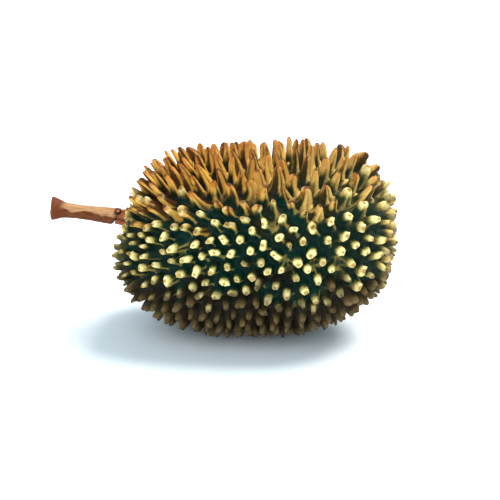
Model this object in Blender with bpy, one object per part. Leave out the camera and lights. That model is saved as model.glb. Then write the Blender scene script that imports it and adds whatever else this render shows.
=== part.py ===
"""A whole durian, lying on its side: the spiny fruit, the short neck of its stalk, and the stalk.

Metres, +Z up. The fruit's long axis runs along X, with the stalk towards -X. It lies on a small flat
spot where its lowest spines are blunted level. The origin is under the middle of the whole durian.
"""

import math

import bmesh
import bpy
import numpy as np
from mathutils import Matrix, Vector

# The fruit's body is what is left of it without its spines.
STALK_END_REACH = 0.1335
BLOSSOM_END_REACH = 0.1255
BODY_HALF_WIDTH = 0.0795
STALK_END_BLUNTNESS = 2.5  # 2 is an ellipsoid, and more is blunter
BLOSSOM_END_BLUNTNESS = 2.9
BLOSSOM_LIFT = 0.012  # how far the blossom end bends up
LOBES = 5
LOBE_SHARE = 0.012  # how far the lobes swell, as a share of the half width
SHOULDER_SHARE = 0.05  # how much more they swell beside the stalk
LOBE_ANGLE = math.radians(69)  # the middle of one lobe, from +Y towards +Z
DIMPLE_SHARE = 0.052  # how far the stalk's seat is sunk, as a share of the reach there
DIMPLE_WIDTH = 0.24  # radians
STALK_RISE = math.radians(11.5)  # how far up from the long axis the stalk's seat is
STALK_TILT = math.radians(8.0)  # how far the stalk itself rises from the long axis
LIE = math.radians(2.5)  # how far the long axis rises to the blossom end as the fruit lies

# The spines stand on the body, one to a cell.
SPINE_COUNT = 790
SPINE_HEIGHT = 0.0175
SPINE_VARIATION = 0.09
SPINE_LEAN = 0.10  # a share of the height, in any direction
STALKWARD_LEAN = 0.22  # a share of the height, beside the stalk
SHORTEST_SPINE = 0.18  # a share of the height, beside the stalk
BLOSSOM_SPINE = 0.86  # a share of the height, at the far end
SPACING = 0.0136
STALK_SPACING = 0.0092
BLOSSOM_SPACING = 0.0120
SEAT_SPACING = 0.0300  # from the stalk's seat to the nearest spines

# The upper side has fewer and longer spines, and the skin below the stalk has almost none.
UPPER_SPREAD = 1.25  # how much further apart they stand there, away from the stalk
UPPER_SPINE = 1.40  # how much longer they are there
UPPER_SINK = 0.052  # how much lower the body is there, as a share of its reach
BARE_DROP = 0.23  # radians from the stalk down to the middle of the bare skin
BARE_REACH = (0.07, 0.62)  # radians from that middle: the shortest spines, and full spines
SWELL_REACH = (0.22, 0.62)  # radians from that middle: the most swell, and none
BARE_SWELL = 0.028  # how much further the body reaches there, as a share of its reach

# The stalk and its neck are turned about the long axis. They start at the seat.
NECK_LENGTH = 0.0145
NECK_FOOT_RADIUS = 0.0112
NECK_RADIUS = 0.0078
STALK_LENGTH = 0.0695
STALK_RADIUS = 0.0074
KNUCKLE_RADIUS = 0.0092
STALK_END_RADIUS = 0.0112
SCAR_RADIUS = 0.0033
STALK_SIDES = 28

JOINT_GAP = 0.0003  # between pieces that touch
SETTLE = 0.0045  # how much of the lowest spines is blunted
RELAX_STEPS = 70
SEED = 20


def smoothstep(low, high, value):
    share = np.clip((value - low) / (high - low), 0.0, 1.0)
    return share * share * (3.0 - 2.0 * share)


def stalk_direction():
    return np.array([-math.cos(STALK_RISE), 0.0, math.sin(STALK_RISE)])


def from_stalk(directions):
    """The angle between each direction and the stalk's, in radians."""
    return np.arccos(np.clip(directions @ stalk_direction(), -1.0, 1.0))


def round_the_axis(directions, away):
    """The angle of each direction round the axis. The axis bends from the blossom end's, along X,
    to the stalk's, so that the lobes meet at the stalk."""
    bend = STALK_RISE * (1.0 - smoothstep(0.2, 1.8, away))
    upright = directions[:, 2] * np.cos(bend) + directions[:, 0] * np.sin(bend)
    return np.arctan2(upright, directions[:, 1])


def from_bare_skin(directions):
    """The angle between each direction and the middle of the bare skin, in radians."""
    angle = STALK_RISE - BARE_DROP
    middle = np.array([-math.cos(angle), 0.0, math.sin(angle)])
    return np.arccos(np.clip(directions @ middle, -1.0, 1.0))


def on_upper_side(directions):
    """From 0 on the sides and below to 1 on top, and less at the two ends."""
    across = np.hypot(directions[:, 1], directions[:, 2])
    return smoothstep(0.40, 0.90, directions[:, 2] / np.maximum(across, 0.42))


def body_radius(directions):
    """How far the body reaches from its centre in each direction: a blunt ellipsoid with shallow
    lobes that swell into shoulders beside the stalk, and a dimple for the stalk's seat."""
    away = from_stalk(directions)
    around = round_the_axis(directions, away)
    shoulder = np.exp(-(((away - 0.62) / 0.30) ** 2))
    lobe = (LOBE_SHARE + SHOULDER_SHARE * shoulder) * np.cos(LOBES * (around - LOBE_ANGLE))
    stalk_half = directions[:, 0] < 0.0
    half_length = np.where(stalk_half, STALK_END_REACH, BLOSSOM_END_REACH)
    bluntness = np.where(stalk_half, STALK_END_BLUNTNESS, BLOSSOM_END_BLUNTNESS)
    along_share = np.abs(directions[:, 0]) / half_length
    across_share = np.hypot(directions[:, 1], directions[:, 2]) / BODY_HALF_WIDTH
    reach = (along_share**bluntness + across_share**bluntness) ** (-1.0 / bluntness)
    dimple = DIMPLE_SHARE * np.exp(-((away / DIMPLE_WIDTH) ** 2))
    swell = BARE_SWELL * (1.0 - smoothstep(*SWELL_REACH, from_bare_skin(directions))) * smoothstep(0.08, 0.36, away)
    sink = UPPER_SINK * on_upper_side(directions)
    return reach * (1.0 + lobe * np.sin(away) - dimple + swell - sink)


def body_points(directions):
    return directions * body_radius(directions)[:, None]


def bent_up(points):
    """The points, raised more and more towards the blossom end."""
    raised = points.copy()
    raised[:, 2] += BLOSSOM_LIFT * np.clip(points[:, 0] / BLOSSOM_END_REACH, 0.0, None) ** 2
    return raised


def unit(vectors):
    return vectors / np.linalg.norm(vectors, axis=1, keepdims=True)


def end_spacing(away):
    """The distance between neighbouring spines: closer beside the stalk and at the far end."""
    beside_stalk = 1.0 - smoothstep(0.25, 0.95, away)
    at_blossom = smoothstep(2.3, 3.0, away)
    spacing = SPACING + (STALK_SPACING - SPACING) * beside_stalk
    return spacing + (BLOSSOM_SPACING - SPACING) * at_blossom


def local_spacing(directions):
    """The same, with more room on the upper side."""
    away = from_stalk(directions)
    wider = 1.0 + (UPPER_SPREAD - 1.0) * on_upper_side(directions) * smoothstep(0.45, 1.05, away)
    return end_spacing(away) * wider


def spiral_directions():
    """Directions wound from end to end on a golden-angle spiral, evenly by the body's surface.
    The first one is the stalk's."""
    away = np.linspace(0.0, math.pi, 721)
    meridian = np.stack([-np.cos(away), np.sin(away), np.zeros_like(away)], axis=1)
    points = body_points(meridian)
    steps = np.linalg.norm(np.diff(points, axis=0), axis=1)
    rings = (points[1:, 1] + points[:-1, 1]) / 2.0
    middles = (away[1:] + away[:-1]) / 2.0
    shares = np.concatenate([[0.0], np.cumsum(rings * steps / end_spacing(middles) ** 2)])
    wanted = (np.arange(SPINE_COUNT) + 0.5) / SPINE_COUNT
    at = np.interp(wanted * shares[-1], shares, away)
    turn = np.arange(SPINE_COUNT) * math.pi * (3.0 - math.sqrt(5.0))
    spiral = np.stack([-np.cos(at), np.sin(at) * np.cos(turn), np.sin(at) * np.sin(turn)], axis=1)
    return np.concatenate([[stalk_direction()], spiral])


def relaxed(directions, random):
    """Sites pushed apart until each has its own room, as the spines of a growing fruit are."""
    directions = unit(directions + random.normal(0.0, 0.018, directions.shape))
    room = (end_spacing(from_stalk(directions)) / local_spacing(directions)) ** 2
    directions = directions[random.random(len(room)) < room]
    directions[0] = stalk_direction()
    spacing = local_spacing(directions)
    for _ in range(RELAX_STEPS):
        points = body_points(directions)
        reach = 0.62 * (spacing[:, None] + spacing[None, :])
        reach[0, :] = SEAT_SPACING
        reach[:, 0] = SEAT_SPACING
        apart = points[:, None, :] - points[None, :, :]
        distance = np.linalg.norm(apart, axis=2) + 1e-9
        push = np.clip(reach - distance, 0.0, None) / distance
        points += 0.16 * (apart * push[:, :, None]).sum(axis=1)
        directions = unit(points)
        directions[0] = stalk_direction()
        spacing = local_spacing(directions)
    return directions


def site_mesh(directions):
    """The sites joined into triangles, each site at its place on the body."""
    mesh = bmesh.new()
    for direction in directions:
        mesh.verts.new(direction)
    bmesh.ops.convex_hull(mesh, input=mesh.verts)
    mesh.verts.index_update()
    mesh.faces.index_update()
    mesh.verts.ensure_lookup_table()
    for vert, point in zip(mesh.verts, bent_up(body_points(directions))):
        vert.co = point
    bmesh.ops.recalc_face_normals(mesh, faces=mesh.faces)
    mesh.normal_update()
    return mesh


def spine_tips(sites, directions, random):
    """Where each spine ends. The first site is the stalk's seat, which has no spine."""
    away = from_stalk(directions)
    grown = smoothstep(0.17, 0.40, away) * smoothstep(*BARE_REACH, from_bare_skin(directions))
    growth = SHORTEST_SPINE + (1.0 - SHORTEST_SPINE) * grown
    growth *= 1.0 + (BLOSSOM_SPINE - 1.0) * smoothstep(2.2, 3.0, away)
    growth *= 1.0 + (UPPER_SPINE - 1.0) * on_upper_side(directions)
    height = SPINE_HEIGHT * growth * (1.0 + SPINE_VARIATION * random.uniform(-1.0, 1.0, len(away)))
    stalkward = STALKWARD_LEAN * (1.0 - smoothstep(0.5, 1.2, away))
    lean = SPINE_LEAN * random.normal(0.0, 1.0, directions.shape)
    lean += stalkward[:, None] * stalk_direction()
    tips = []
    for vert, high, side in zip(sites.verts, height.tolist(), lean):
        offset = Vector(side)
        offset -= offset.dot(vert.normal) * vert.normal
        tips.append(vert.co + high * (vert.normal + offset))
    return tips


def fruit_mesh():
    """The closed skin of the fruit. Each site has a cell on the body, whose corners are the middles
    of the triangles round it, and the cell rises to its spine's tip."""
    random = np.random.default_rng(SEED)
    directions = relaxed(spiral_directions(), random)
    sites = site_mesh(directions)
    tips = spine_tips(sites, directions, random)
    middles = np.array([directions[[v.index for v in face.verts]].sum(axis=0) for face in sites.faces])
    corners = bent_up(body_points(unit(middles)))

    # The stalk's seat is flat and square to the stalk.
    square = np.array([-math.cos(STALK_TILT), 0.0, math.sin(STALK_TILT)])
    seat = body_points(stalk_direction()[None, :])[0]
    for face in sites.verts[0].link_faces:
        corners[face.index] -= (corners[face.index] - seat) @ square * square
    tips[0] = Vector(seat)

    skin = bmesh.new()
    tip_verts = [skin.verts.new(tip) for tip in tips]
    corner_verts = [skin.verts.new(corner) for corner in corners]
    for edge in sites.edges:
        ends = [corner_verts[face.index] for face in edge.link_faces]
        for site in edge.verts:
            skin.faces.new([tip_verts[site.index], *ends])
    bmesh.ops.recalc_face_normals(skin, faces=skin.faces)
    sites.free()
    return skin, Vector(seat)


def blunt_lowest_spines(skin, floor):
    """Cuts off what reaches below the floor, and closes the small flat ends."""
    whole = [*skin.verts, *skin.edges, *skin.faces]
    bmesh.ops.bisect_plane(
        skin, geom=whole, plane_co=(0.0, 0.0, floor), plane_no=(0.0, 0.0, -1.0), clear_outer=True
    )
    rims = [edge for edge in skin.edges if edge.is_boundary]
    bmesh.ops.holes_fill(skin, edges=rims, sides=0)
    bmesh.ops.recalc_face_normals(skin, faces=skin.faces)


def material(name, colour, roughness):
    made = bpy.data.materials.new(name)
    made.use_nodes = True
    shader = made.node_tree.nodes["Principled BSDF"]
    shader.inputs["Base Color"].default_value = (*colour, 1.0)
    shader.inputs["Roughness"].default_value = roughness
    shader.inputs["Metallic"].default_value = 0.0
    return made


def node(name, mesh, finish):
    """One named object made from a bmesh."""
    data = bpy.data.meshes.new(name)
    mesh.to_mesh(data)
    mesh.free()
    data.materials.append(finish)
    made = bpy.data.objects.new(name, data)
    bpy.context.scene.collection.objects.link(made)
    return made


def turned(profile):
    """A solid turned about the X axis. The profile is a list of (distance from the seat towards -X,
    radius), and its two ends are closed."""
    mesh = bmesh.new()
    outline = [(profile[0][0], 0.0), *profile, (profile[-1][0], 0.0)]
    verts = [mesh.verts.new((-along, radius, 0.0)) for along, radius in outline]
    edges = [mesh.edges.new(pair) for pair in zip(verts, verts[1:])]
    bmesh.ops.spin(
        mesh,
        geom=[*verts, *edges],
        cent=(0.0, 0.0, 0.0),
        axis=(1.0, 0.0, 0.0),
        angle=2.0 * math.pi,
        steps=STALK_SIDES,
        use_merge=True,
    )
    bmesh.ops.remove_doubles(mesh, verts=mesh.verts, dist=1e-6)
    bmesh.ops.recalc_face_normals(mesh, faces=mesh.faces)
    return mesh


def neck(finish):
    """The stub that stays on the fruit when it drops: it flares into the fruit."""
    profile = [
        (0.0, NECK_FOOT_RADIUS),
        (0.16 * NECK_LENGTH, 0.95 * NECK_FOOT_RADIUS),
        (0.45 * NECK_LENGTH, 0.80 * NECK_FOOT_RADIUS),
        (0.75 * NECK_LENGTH, NECK_RADIUS),
        (NECK_LENGTH, NECK_RADIUS),
    ]
    return node("stalk_neck", turned(profile), finish)


def stalk(finish):
    """The stalk from its knuckle, where a ripe fruit breaks off, to its swollen cut end."""
    end = STALK_LENGTH
    profile = [
        (0.0, 0.90 * KNUCKLE_RADIUS),
        (0.0015, KNUCKLE_RADIUS),
        (0.0042, KNUCKLE_RADIUS),
        (0.0075, 0.88 * KNUCKLE_RADIUS),
        (0.0130, STALK_RADIUS),
        (0.40 * end, 0.97 * STALK_RADIUS),
        (0.74 * end, STALK_RADIUS),
        (0.84 * end, 1.12 * STALK_RADIUS),
        (0.91 * end, 0.86 * STALK_END_RADIUS),
        (0.955 * end, STALK_END_RADIUS),
        (0.980 * end, 0.97 * STALK_END_RADIUS),
        (0.993 * end, 0.72 * STALK_END_RADIUS),
        (end, 0.35 * STALK_END_RADIUS),
    ]
    mesh = turned(profile)
    return node("stalk", mesh, finish)


def bud_scar(carrier):
    """The small round scar on top of the knuckle, joined to the stalk."""
    mesh = bmesh.new()
    bmesh.ops.create_icosphere(mesh, subdivisions=2, radius=SCAR_RADIUS)
    scar = node("bud_scar_shape", mesh, carrier.data.materials[0])
    scar.hide_render = True
    scar.display_type = "WIRE"
    join = carrier.modifiers.new("join_bud_scar", "BOOLEAN")
    join.operation = "UNION"
    join.solver = "EXACT"
    join.object = scar
    return scar


def main():
    for old in list(bpy.data.objects):
        bpy.data.objects.remove(old)

    husk_finish = material("husk", (0.17, 0.14, 0.045), 0.55)
    neck_finish = material("stalk_neck", (0.42, 0.16, 0.055), 0.6)
    bark_finish = material("stalk_bark", (0.36, 0.17, 0.085), 0.65)

    skin, seat = fruit_mesh()
    lie = Matrix.Rotation(-LIE, 4, "Y")
    skin.transform(lie)
    floor = SETTLE + min(vert.co.z for vert in skin.verts)
    blunt_lowest_spines(skin, floor)
    fruit = node("fruit", skin, husk_finish)

    # The stalk's pieces are made along -X from a seat at the origin, then stood on the real one.
    neck_piece = neck(neck_finish)
    neck_piece.location.x = -JOINT_GAP
    stalk_x = -(NECK_LENGTH + 2.0 * JOINT_GAP)
    stalk_piece = stalk(bark_finish)
    stalk_piece.location.x = stalk_x
    scar = bud_scar(stalk_piece)
    scar.location = (stalk_x - 0.0030, -0.0030, KNUCKLE_RADIUS - 0.0008)
    stood = lie @ Matrix.Translation(seat) @ Matrix.Rotation(STALK_TILT, 4, "Y")
    bpy.context.view_layer.update()
    for piece in (neck_piece, stalk_piece, scar):
        piece.matrix_world = stood @ piece.matrix_world

    # The origin goes under the middle of the whole durian, on the floor.
    bpy.context.view_layer.update()
    solids = (fruit, neck_piece, stalk_piece)
    reach = [piece.matrix_world @ v.co for piece in solids for v in piece.data.vertices]
    middle = [(min(p[i] for p in reach) + max(p[i] for p in reach)) / 2.0 for i in (0, 1)]
    shift = Matrix.Translation((-middle[0], -middle[1], -floor))
    for piece in (*solids, scar):
        piece.matrix_world = shift @ piece.matrix_world
    for piece in (neck_piece, stalk_piece):
        piece.data.shade_smooth()
        piece.data.set_sharp_from_angle(angle=math.radians(50))


main()
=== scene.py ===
# %% [markdown]
# # A whole durian with its stalk
# A durian is one closed husk with hundreds of stout spines grown on it. A short neck stays on the
# fruit, and a stalk breaks off from the neck at a knuckle when the fruit is ripe. The measured
# model is loaded first, in metres, as a frame that never moves. Every piece made below takes its
# place from that frame, so nothing has to be fitted by eye.

# %% Load the measured durian
import math

import bmesh
import bpy
import numpy as np
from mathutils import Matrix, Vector


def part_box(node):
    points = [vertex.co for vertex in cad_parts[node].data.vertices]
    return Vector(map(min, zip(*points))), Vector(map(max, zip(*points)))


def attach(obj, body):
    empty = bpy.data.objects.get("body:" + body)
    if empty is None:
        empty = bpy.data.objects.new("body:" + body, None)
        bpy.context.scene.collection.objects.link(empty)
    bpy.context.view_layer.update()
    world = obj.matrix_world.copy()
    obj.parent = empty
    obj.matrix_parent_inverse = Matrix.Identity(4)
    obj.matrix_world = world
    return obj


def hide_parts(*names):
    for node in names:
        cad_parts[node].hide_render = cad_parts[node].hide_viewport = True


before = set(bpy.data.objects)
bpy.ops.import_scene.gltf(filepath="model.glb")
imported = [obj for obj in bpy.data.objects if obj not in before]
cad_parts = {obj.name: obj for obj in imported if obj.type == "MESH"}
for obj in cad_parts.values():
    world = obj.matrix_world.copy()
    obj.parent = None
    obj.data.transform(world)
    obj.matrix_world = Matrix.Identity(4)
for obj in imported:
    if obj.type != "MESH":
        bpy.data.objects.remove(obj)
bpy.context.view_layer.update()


def rounded(place):
    """A place in metres, short enough to read."""
    return [round(c, 4) for c in place]


# %% [markdown]
# ## The husk, first as the measured skin
# The measured fruit is a closed skin of pyramids, one for each spine, and the lowest ones are cut
# off level where the fruit rests. Its file holds loose triangles, so a copy is taken and its
# doubled points are merged into one surface. Each small flat is drawn together into one point,
# which then serves as that spine's tip, and the stalk's seat becomes one face again. Starting from
# the measured skin keeps every spine exactly where it was measured.

# %% Copy the fruit and join its triangles
SAME_POINT = 1e-6
ON_THE_FLOOR = 1e-5
LEVEL = 1e-3  # radians


def start_on(piece):
    """Selects this piece alone and opens it for editing, with everything on it selected."""
    bpy.ops.object.select_all(action="DESELECT")
    piece.select_set(True)
    bpy.context.view_layer.objects.active = piece
    bpy.ops.object.mode_set(mode="EDIT")
    bpy.ops.mesh.select_all(action="SELECT")


def pick(piece, kind, wanted):
    """Selects only the vertices, edges or faces that are wanted, and returns how many they are."""
    bpy.ops.mesh.select_mode(type=kind)
    bpy.ops.mesh.select_all(action="DESELECT")
    mesh = bmesh.from_edit_mesh(piece.data)
    mesh.normal_update()
    parts = {"VERT": mesh.verts, "EDGE": mesh.edges, "FACE": mesh.faces}[kind]
    chosen = [part for part in parts if wanted(part)]
    for part in chosen:
        part.select_set(True)
    mesh.select_flush_mode()
    bmesh.update_edit_mesh(piece.data)
    return len(chosen)


def is_level(edge):
    """Whether the two faces at this edge lie in one plane."""
    return abs(edge.calc_face_angle_signed()) < LEVEL


husk = bpy.data.objects.new("spiny_husk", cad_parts["fruit"].data.copy())
husk.data.materials.clear()
bpy.context.scene.collection.objects.link(husk)
start_on(husk)
bpy.ops.mesh.customdata_custom_splitnormals_clear()
bpy.ops.mesh.remove_doubles(threshold=SAME_POINT)
pick(husk, "VERT", lambda vert: vert.co.z < ON_THE_FLOOR)
bpy.ops.mesh.merge(type="COLLAPSE")
pick(husk, "FACE", lambda face: any(map(is_level, face.edges)))
bpy.ops.mesh.dissolve_faces()
bpy.ops.object.mode_set(mode="OBJECT")
print("the skin has", len(husk.data.polygons), "faces")

# %% [markdown]
# ## Which points are spine tips
# All the edges at a tip are ridges, and every other point lies in a valley where three spines
# meet. So the tips are found by the bend of their edges. Each tip's place and the middle of its
# foot are written on the skin as attributes. Blender blends an attribute over the new points when
# an edge is cut, so every new point will know which spine it belongs to and how high up it is.
# Chance gives each spine its own stoutness, tint and bend, from a seed that never changes.

# %% Write each spine's tip and foot on the skin
RIDGE = 0.02  # radians
SEED = 7
BEND_SPREAD = 0.6


def write(piece, name, values):
    """Keeps one number, or one place, for each point of the piece."""
    kind, field = ("FLOAT", "value") if values.ndim == 1 else ("FLOAT_VECTOR", "vector")
    made = piece.data.attributes.get(name) or piece.data.attributes.new(name, kind, "POINT")
    made.data.foreach_set(field, values.ravel())


def spine_ends(piece):
    """The number of each tip's point, its place, and the middle of its foot."""
    skin = bmesh.new()
    skin.from_mesh(piece.data)
    found = []
    for vert in skin.verts:
        if all(edge.calc_face_angle_signed() > RIDGE for edge in vert.link_edges):
            around = [edge.other_vert(vert).co for edge in vert.link_edges]
            found.append((vert.index, vert.co.copy(), sum(around, Vector()) / len(around)))
    skin.free()
    return found


spines = spine_ends(husk)
tip_points = np.array([index for index, _, _ in spines])
skin_points = len(husk.data.vertices)


def write_at_tips(name, values):
    """Keeps each spine's value at its tip, and zero in the valleys."""
    values = np.array(values, float)
    everywhere = np.zeros((skin_points, *values.shape[1:]))
    everywhere[tip_points] = values
    write(husk, name, everywhere)


random = np.random.default_rng(SEED)
write_at_tips("tip", [tip for _, tip, _ in spines])
write_at_tips("foot", [foot for _, _, foot in spines])
write_at_tips("share", np.ones(len(spines)))
write_at_tips("stoutness", random.random(len(spines)))
write_at_tips("tint", random.random(len(spines)))
write_at_tips("bend", random.normal(0.0, BEND_SPREAD, (len(spines), 3)))
print(len(spines), "spines")

# %% [markdown]
# ## Twelve sides for each spine
# A rounded finger needs more sides than the six of a pyramid. Each edge in the valleys is cut at
# its middle, and that middle is joined to the two tips beside it, which gives twelve sides. About
# 750 spines share this skin, so more sides than that would make it heavy.

# %% Cut the valleys and join the cuts to the tips
tips = set(tip_points.tolist())


def climbs(edge):
    """Whether this edge runs up to a tip."""
    return any(vert.index in tips for vert in edge.verts)


start_on(husk)
valleys = pick(husk, "EDGE", lambda edge: not climbs(edge))
bpy.ops.mesh.subdivide(number_cuts=1)
pick(husk, "VERT", lambda vert: vert.index in tips or vert.index >= skin_points)
bpy.ops.mesh.vert_connect()
bpy.ops.object.mode_set(mode="OBJECT")
print(valleys, "valley edges cut,", len(husk.data.polygons), "faces")

# %% [markdown]
# ## Which neighbours a ridge joins
# On the real husk low ridges join many spines to a neighbour. Most of them run from the stalk's
# end down the near side and on round the fruit, and a few run another way. The middle of a valley
# edge lies between two spines, so it keeps how strong the ridge there is. It also keeps how much
# room there is, because a very short valley edge has no room for a ridge.

# %% Find the ways on the fruit, and read its skin
def soft_step(low, high, value):
    """Goes softly from 0 to 1 as the value goes from low to high."""
    share = np.clip((value - low) / (high - low), 0.0, 1.0)
    return share * share * (3.0 - 2.0 * share)


def unit(vectors):
    return vectors / np.linalg.norm(vectors, axis=1, keepdims=True)


def outward(places):
    """The way out of the fruit at each place: straight away from a line inside it."""
    low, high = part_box("fruit")
    middle, half_width = (low + high) / 2.0, (high.z - low.z) / 2.0
    line = places.copy()
    line[:, 0] = np.clip(line[:, 0], low.x + half_width, high.x - half_width)
    line[:, 1:] = middle.y, middle.z
    return unit(places - line)


def downhill(places):
    """The way that the ridges run at each place: from the stalk's end down the near side, and on
    round the fruit as a spiral."""
    lengthwise = np.array([1.0, 0.0, 0.0])
    round_up = np.cross(outward(places), lengthwise)
    return unit(lengthwise - round_up)


def all_places(piece):
    places = np.zeros(len(piece.data.vertices) * 3)
    piece.data.vertices.foreach_get("co", places)
    return places.reshape(-1, 3)


def all_edges(piece):
    """The two points of each edge, the older one first."""
    ends = np.zeros(len(piece.data.edges) * 2, int)
    piece.data.edges.foreach_get("vertices", ends)
    return np.sort(ends.reshape(-1, 2), axis=1)


places = all_places(husk)
ends = all_edges(husk)
is_tip = np.zeros(len(places), bool)
is_tip[tip_points] = True
print(len(places), "points and", len(ends), "edges")

# %% Choose the ridges
SHORT_VALLEY, LONG_VALLEY = 0.0015, 0.0045
ON_THE_WAY = (0.66, 0.90)  # no ridge to a full one, by how well a pair lies on the ridges' way
BY_LUCK = (0.66, 0.97)  # the same, by the pair's own luck
SURE_SHARE, LUCK_SHARE, STRAY_SHARE = 0.70, 0.30, 0.8
EDGES_AT_CORNER = 3.0

has_middle = ends[:, 1] >= skin_points
valley_ends = ends[has_middle & ~is_tip[ends[:, 0]]]
climb_ends = ends[has_middle & is_tip[ends[:, 0]]]

half_lengths = np.linalg.norm(places[valley_ends[:, 0]] - places[valley_ends[:, 1]], axis=1)
between = np.zeros(len(places))
between[valley_ends[:, 1]] = soft_step(SHORT_VALLEY, LONG_VALLEY, 2.0 * half_lengths)

# A middle with two climbing edges stands between the two spines at their other ends.
climb_ends = climb_ends[np.bincount(climb_ends[:, 1])[climb_ends[:, 1]] == 2]
pairs = climb_ends[np.argsort(climb_ends[:, 1], kind="stable")].reshape(-1, 2, 2)
middle_points = pairs[:, 0, 1]
pair_way = unit(places[pairs[:, 1, 0]] - places[pairs[:, 0, 0]])
on_way = np.abs((pair_way * downhill(places[middle_points])).sum(axis=1))
luck = random.random(len(on_way))
regular = soft_step(*ON_THE_WAY, on_way) * (SURE_SHARE + LUCK_SHARE * luck)
stray = STRAY_SHARE * soft_step(*BY_LUCK, luck)
joined = np.zeros(len(places))
joined[middle_points] = np.maximum(regular, stray)

# The corner where three valleys meet keeps how strong the ridges beside it are.
beside = np.zeros(len(places))
np.add.at(beside, valley_ends[:, 0], joined[valley_ends[:, 1]] / EDGES_AT_CORNER)
for name, values in (("joined", joined), ("between", between), ("beside", beside)):
    write(husk, name, values)
print(len(middle_points), "pairs of neighbours,", int((joined > 0.0).sum()), "with a ridge")

# %% [markdown]
# ## Cutting the pyramids into rings
# Round the stalk the spines are short, and there the pits and the ridges must be low as well. So
# every point also keeps how tall the spines next to it are, as a share of a full one. Then every
# edge that climbs to a tip is cut, and the cuts of neighbouring edges make closed rings. Each
# spine ends up with only about seventy faces.

# %% Keep how tall the spines are, and cut the rings
RINGS = 5
FULL_LENGTH = 0.0175

tall = np.zeros(len(places))
tall[tip_points] = [(tip - foot).length for _, tip, foot in spines]
spokes = ends[is_tip[ends].sum(axis=1) == 1]
upper, lower = spokes[is_tip[spokes]], spokes[~is_tip[spokes]]
total, count = np.zeros(len(places)), np.zeros(len(places))
np.add.at(total, lower, tall[upper])
np.add.at(count, lower, 1.0)
tall[~is_tip] = (total / np.maximum(count, 1.0))[~is_tip]
write(husk, "tall", tall / FULL_LENGTH)

start_on(husk)
climbing = pick(husk, "EDGE", climbs)
bpy.ops.mesh.subdivide(number_cuts=RINGS)
bpy.ops.object.mode_set(mode="OBJECT")
print(climbing, "climbing edges cut,", len(husk.data.polygons), "faces")

# %% [markdown]
# ## Reading the spines back
# A point that was cut into a climbing edge holds a blend of two values, the tip's and the
# valley's. The share says how far up it is, so each value is divided by its part of the blend.
# Then every point knows its own spine's tip, foot and bend, and the place it climbs from.

# %% Read back which spine and ring each point is on
MIDDLE_TINT = 0.5
TINY = 1e-9  # keeps a division by a length of zero from failing


def read(piece, name):
    """The number, or the place, that is kept for each point of the piece."""
    count = len(piece.data.vertices)
    kept_values = piece.data.attributes[name]
    if kept_values.data_type == "FLOAT":
        values = np.zeros(count)
        kept_values.data.foreach_get("value", values)
        return values
    values = np.zeros(count * 3)
    kept_values.data.foreach_get("vector", values)
    return values.reshape(count, 3)


places = all_places(husk)
share = read(husk, "share")
ring = np.rint(share * (RINGS + 1)).astype(int)
on_spine, below_tip = share > 0.0, share < 1.0
from_the_tip = np.where(on_spine, share, 1.0)
from_the_valley = np.where(below_tip, 1.0 - share, 1.0)
tip, foot, bend = (read(husk, name) / from_the_tip[:, None] for name in ("tip", "foot", "bend"))
stoutness = read(husk, "stoutness") / from_the_tip
tint = np.where(on_spine, read(husk, "tint") / from_the_tip, MIDDLE_TINT)
joined, between, beside = (
    read(husk, name) / from_the_valley for name in ("joined", "between", "beside")
)
tall = np.clip(read(husk, "tall"), 0.0, 1.0)
at_the_foot = (places - share[:, None] * tip) / from_the_valley[:, None]
base = np.where((on_spine & below_tip)[:, None], at_the_foot, places)
from_foot = base - foot
print(int(on_spine.sum()), "points on spines")

# %% [markdown]
# ## How stout each spine is
# Spines on the sides are blunt fingers, some more than others. They are sharper and more slender
# above and below, and where they are short. Near the stalk the upper ones are full again. One
# number says all this: 0 is sharp and 1 is blunt.

# %% Settle each spine's stoutness
UPPER_SIDE = (0.25, 0.85)  # from the sides to the upper side, by how far the husk faces up
SHARPER_ABOVE = 0.90
BLUNTER_ON_SIDES = 0.30
LOW_HEIGHTS = (0.030, 0.080)
SHORT_TO_TALL = (0.3, 1.0)
STALK_END, LEAST_AT_STALK = (-0.090, 0.0), 0.25
STALK_SHOULDER, FULL_AT_STALK, FULL_ELSEWHERE = (-0.085, -0.020), 0.85, 0.30
FACING_UP = (-0.1, 0.35)


def spread(value, limits, start, end):
    """Goes softly from start to end as the value goes from one limit to the other."""
    return start + (end - start) * soft_step(*limits, value)


facing_up = outward(foot)[:, 2]
upper_side = soft_step(*UPPER_SIDE, facing_up)
grown = soft_step(*SHORT_TO_TALL, tall)
stoutness *= 1.0 - SHARPER_ABOVE * upper_side
stoutness += BLUNTER_ON_SIDES * (1.0 - stoutness) * (1.0 - upper_side)
stoutness *= soft_step(*LOW_HEIGHTS, foot[:, 2]) * grown
stoutness *= spread(foot[:, 0], STALK_END, LEAST_AT_STALK, 1.0)
fuller = spread(foot[:, 0], STALK_SHOULDER, FULL_AT_STALK, FULL_ELSEWHERE)
stoutness = np.maximum(stoutness, fuller * soft_step(*FACING_UP, facing_up) * grown)
print("stoutness from", round(float(stoutness.min()), 2), "to", round(float(stoutness.max()), 2))

# %% [markdown]
# ## Swelling the spines
# On the real husk a spine rises steeply from its foot, keeps its width like a finger, and rounds
# off at the end. Each ring is therefore moved out to its own reach and height, both as shares of
# the spine's foot and length. A ridge draws the rings on its side further out, the hollows where
# three spines meet are deep, and each spine is a little flattened and bent its own way. Moving
# about 750 spines at once is done with arrays of numbers, because picking rings one by one would
# take hours.

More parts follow.
